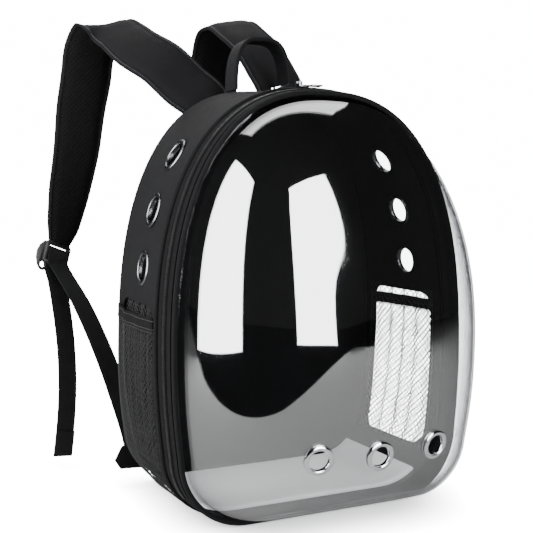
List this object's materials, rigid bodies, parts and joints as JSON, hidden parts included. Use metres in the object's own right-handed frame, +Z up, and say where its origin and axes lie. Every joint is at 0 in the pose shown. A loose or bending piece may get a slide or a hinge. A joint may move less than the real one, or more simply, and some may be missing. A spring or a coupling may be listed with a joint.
{
  "type": "pet carrier backpack",
  "caption": "Arched fabric pet carrier backpack with a clear bubble front, metal-rimmed air vents, mesh side pockets, padded shoulder straps and a grab handle.",
  "frame": {"origin": "middle of the base panel's underside, on the floor", "axes": "+Z up; the clear dome faces -Y and the shoulder straps stand behind, towards +Y; +X is to the right of someone who faces the dome"},
  "size_m": [0.4156, 0.4405, 0.5593],
  "materials": {
    "black_cloth": "plain-woven polyester, matt",
    "black_trim": "woven webbing and piping",
    "black_net": "open warp-knit mesh",
    "clear_plastic": "clear, polished",
    "pale_mat": "smooth, pale grey",
    "chrome": "polished",
    "dark_nickel": "polished, dark",
    "black_plastic": "moulded, satin"
  },
  "bodies": {
    "bag": {"dome": "clear_plastic", "side_wall_left": "black_cloth", "side_wall_right": "black_cloth", "top_wall": "black_cloth", "base_panel": "black_cloth", "back_panel": "black_cloth", "back_piping": "black_trim", "front_piping": "black_trim", "dome_piping": "black_trim", "zipper_tape": "black_trim", "zipper_coil": "black_plastic", "floor_mat": "pale_mat", "zipper_slider_left": "dark_nickel", "zipper_slider_right": "dark_nickel", "grab_handle": "black_trim", "window_net_left": "black_net", "pocket_net_left": "black_net", "pocket_band_left": "black_trim", "shoulder_strap_left": "black_cloth", "strap_lock_left": "black_plastic", "lower_webbing_left": "black_trim", "webbing_tail_left": "black_trim", "strap_anchor_left": "black_trim", "side_vent_left_1": "dark_nickel", "side_vent_left_2": "dark_nickel", "side_vent_left_3": "dark_nickel", "window_net_right": "black_net", "pocket_net_right": "black_net", "pocket_band_right": "black_trim", "shoulder_strap_right": "black_cloth", "strap_lock_right": "black_plastic", "lower_webbing_right": "black_trim", "webbing_tail_right": "black_trim", "strap_anchor_right": "black_trim", "side_vent_right_1": "dark_nickel", "side_vent_right_2": "dark_nickel", "side_vent_right_3": "dark_nickel", "dome_vent_1": "chrome", "dome_vent_2": "chrome", "dome_vent_3": "chrome"},
    "pull": {"zipper_pull": "chrome"}
  },
  "joints": [
    {"name": "pull_swing", "type": "hinge", "parent": "bag", "child": "pull", "pos_m": [-0.02273, -0.09504, 0.44291], "axis": [0, 1, 0], "range_deg": [0, 170]}
  ]
}
